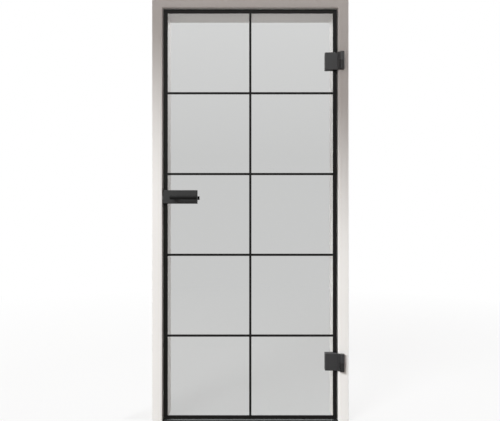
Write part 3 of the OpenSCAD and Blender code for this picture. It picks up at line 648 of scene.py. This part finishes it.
def make_upper_flag():
    """Stands between the key light and the door; its lower edge gives the slanting shade on the frame."""
    low, high = cad_box
    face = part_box("head_casing")[LOWEST][Y]
    edge_left = Vector((low[X], face, SHADE_LEFT_HEIGHT)) + KEY_DIRECTION * UPPER_FLAG_DISTANCE
    edge_right = Vector((high[X], face, SHADE_RIGHT_HEIGHT)) + KEY_DIRECTION * UPPER_FLAG_DISTANCE
    along = (edge_right - edge_left).normalized() * UPPER_FLAG_SIZE
    up = KEY_DIRECTION.cross(along).normalized() * UPPER_FLAG_SIZE
    if up.z < 0:
        up = -up
    start = (edge_left + edge_right - along) / 2
    make_flag("upper_flag", (start, start + along, start + along + up, start + up))


def make_side_flag():
    """Stands beside the frame, and keeps lamp light out of the channel between its casings."""
    low, high = cad_box
    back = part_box("lock_side_casing")[HIGHEST][Y]
    inner = Vector((low[X] - SIDE_FLAG_GAP, back, low[Z]))
    across = Vector((-SIDE_FLAG_W, 0.0, 0.0))
    up = Vector((0.0, 0.0, high[Z] - low[Z]))
    make_flag("side_flag", (inner, inner + across, inner + across + up, inner + up))


def add_ray_choice(tree, path):
    """How bright camera, mirrored and transmitted rays see a backdrop, and whether a ray is one of these."""
    seen = add_math(tree, "MULTIPLY", path.outputs["Is Camera Ray"], SEEN_WHITE)
    mirrored = add_math(tree, "MULTIPLY", path.outputs["Is Glossy Ray"], MIRRORED_WHITE)
    through = add_math(tree, "MULTIPLY", path.outputs["Is Transmission Ray"], SEEN_THROUGH_GLASS)
    level = add_math(tree, "MAXIMUM", add_math(tree, "MAXIMUM", seen, mirrored), through)
    direct = add_math(tree, "LESS_THAN", path.outputs["Diffuse Depth"], BEFORE_FIRST_BOUNCE)
    is_seen = add_math(tree, "MULTIPLY", add_math(tree, "GREATER_THAN", level, 0.0), direct)
    return level, is_seen


def make_world():
    """Soft light from all round, stronger behind; the camera, mirrors and the glass see a pale background."""
    world = bpy.data.worlds.new("pale_studio")
    bpy.context.scene.world = world
    world.use_nodes = True
    tree = world.node_tree
    tree.nodes.clear()
    output = tree.nodes.new("ShaderNodeOutputWorld")
    path = tree.nodes.new("ShaderNodeLightPath")
    coordinates = tree.nodes.new("ShaderNodeTexCoord")
    split = tree.nodes.new("ShaderNodeSeparateXYZ")
    link(tree, coordinates.outputs["Generated"], split.inputs["Vector"])
    ambient = tree.nodes.new("ShaderNodeBackground")
    turned = add_ramp(tree, split.outputs["Y"], -AMBIENT_TURN, AMBIENT_TURN, 0.0, 1.0)
    link(tree, add_tint(tree, turned, AMBIENT_FRONT_COLOR, AMBIENT_REAR_COLOR), ambient.inputs["Color"])
    strength = add_ramp(tree, turned, 0.0, 1.0, AMBIENT_FRONT, AMBIENT_REAR)
    link(tree, strength, ambient.inputs["Strength"])
    level, is_seen = add_ray_choice(tree, path)
    sky_rise = MIRRORED_SKY - MIRRORED_WHITE
    rise = add_ramp(tree, split.outputs["Z"], MIRRORED_SKY_START, MIRRORED_SKY_END, 0.0, sky_rise)
    is_glossy = path.outputs["Is Glossy Ray"]
    only_mirrored = add_math(tree, "SUBTRACT", is_glossy, path.outputs["Is Transmission Ray"])
    sky = add_math(tree, "MULTIPLY", rise, add_math(tree, "MAXIMUM", only_mirrored, 0.0))
    seen = tree.nodes.new("ShaderNodeBackground")
    seen.inputs["Color"].default_value = opaque(SEEN_COLOR)
    link(tree, add_math(tree, "ADD", level, sky), seen.inputs["Strength"])
    chosen = add_shader_mix(tree, is_seen, ambient.outputs["Background"], seen.outputs["Background"])
    link(tree, chosen, output.inputs["Surface"])


def make_floor():
    """Pale floor that the camera sees nearly white, with the soft shadow of the door on it."""
    bpy.ops.object.select_all(action="DESELECT")
    bpy.ops.mesh.primitive_plane_add(size=FLOOR_SIZE, location=(0.0, 0.0, cad_box[LOWEST][Z]))
    floor = bpy.context.active_object
    floor.name = "studio_floor"
    material, shader = new_material("pale_studio_floor")
    tree = material.node_tree
    shader.inputs["Base Color"].default_value = opaque(FLOOR_COLOR)
    shader.inputs["Roughness"].default_value = FLOOR_ROUGHNESS
    shader.inputs["Specular IOR Level"].default_value = FLOOR_SPECULAR
    path = tree.nodes.new("ShaderNodeLightPath")
    bounce = tree.nodes.new("ShaderNodeBsdfDiffuse")
    bounce.inputs["Color"].default_value = opaque(FLOOR_BOUNCE_COLOR)
    lit = add_shader_mix(tree, path.outputs["Is Diffuse Ray"], shader.outputs["BSDF"], bounce.outputs["BSDF"])
    glow = tree.nodes.new("ShaderNodeEmission")
    level, is_seen = add_ray_choice(tree, path)
    link(tree, level, glow.inputs["Strength"])
    reach = tree.nodes.new("ShaderNodeVectorMath")
    reach.operation = "LENGTH"
    link(tree, object_place(tree), reach.inputs[0])
    fade = add_ramp(tree, reach.outputs["Value"], FLOOR_SHADE_START, FLOOR_SHADE_END, FLOOR_WHITE_SHARE, 1.0)
    white = add_math(tree, "MULTIPLY", is_seen, fade)
    link(tree, add_shader_mix(tree, white, lit, glow.outputs["Emission"]), surface_socket(tree))
    floor.data.materials.append(material)


def make_studio():
    """Camera, lamps with their flags, backdrop and floor."""
    make_camera()
    make_sun("key_light", KEY_DIRECTION, KEY_SPREAD, KEY_STRENGTH, KEY_COLOR)
    make_sun("side_light", SIDE_DIRECTION, SIDE_SPREAD, SIDE_STRENGTH, SIDE_COLOR)
    make_upper_flag()
    make_side_flag()
    make_world()
    make_floor()
    bpy.context.scene.view_settings.view_transform = "Standard"


mottle_group = make_mottle_group()
make_studio()
dress_nodes()
soften_frame()
soften_fittings()
make_spring()
